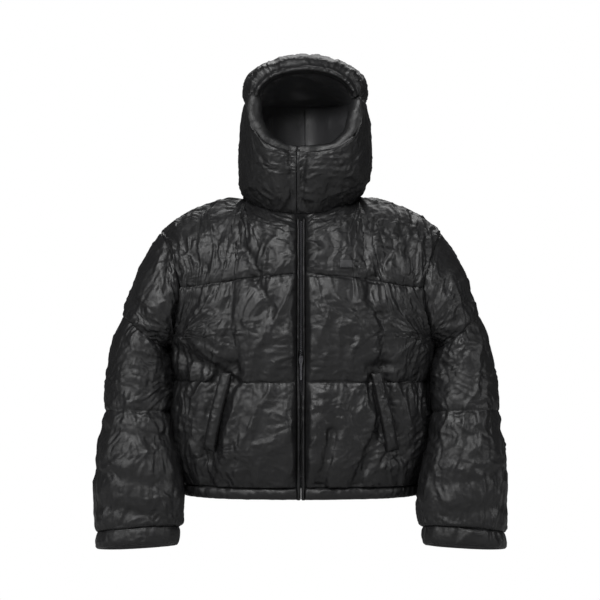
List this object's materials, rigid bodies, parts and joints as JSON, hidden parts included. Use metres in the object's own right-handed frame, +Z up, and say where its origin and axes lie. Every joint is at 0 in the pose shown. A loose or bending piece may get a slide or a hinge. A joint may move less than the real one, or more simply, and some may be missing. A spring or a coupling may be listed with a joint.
{
  "type": "hooded puffer jacket",
  "caption": "Cropped black puffer jacket, filled out as worn, with a standing hood, wide quilted baffles, zipped front and slanted welt pockets.",
  "frame": {"origin": "the middle of the neck base, where the wearer's neck and shoulders carry the jacket", "axes": "+Z up, +X towards the wearer's left, the front faces -Y"},
  "size_m": [0.8568, 0.3382, 1.0368],
  "materials": {
    "shell": "crinkled semi-gloss coated nylon",
    "lining": "smooth satin lining",
    "tape": "matt woven tape",
    "zip": "dark gunmetal"
  },
  "bodies": {
    "garment": {"front_right": "shell", "front_left": "shell", "back": "shell", "hem_band": "shell", "sleeve_cap_right": "shell", "sleeve_cap_left": "shell", "sleeve_right": "shell", "sleeve_left": "shell", "cuff_right": "shell", "cuff_left": "shell", "pocket_welt_right": "shell", "pocket_welt_left": "shell", "hood_right": "shell", "hood_left": "shell", "hood_crown": "shell", "hood_binding": "shell", "zip_lip_right": "shell", "zip_lip_left": "shell", "chest_patch": "shell", "hood_lining_right": "lining", "hood_lining_left": "lining", "hood_lining_crown": "lining", "zip_tape_right": "tape", "zip_tape_left": "tape", "zip_chain": "zip", "zip_chain_right": "zip", "zip_chain_left": "zip", "zip_slider": "zip"},
    "pull": {"zip_pull": "zip"}
  },
  "joints": [
    {"name": "pull_swing", "type": "hinge", "parent": "garment", "child": "pull", "pos_m": [0, -0.15375, -0.341], "axis": [-1, 0, 0], "range_deg": [0, 150]}
  ]
}
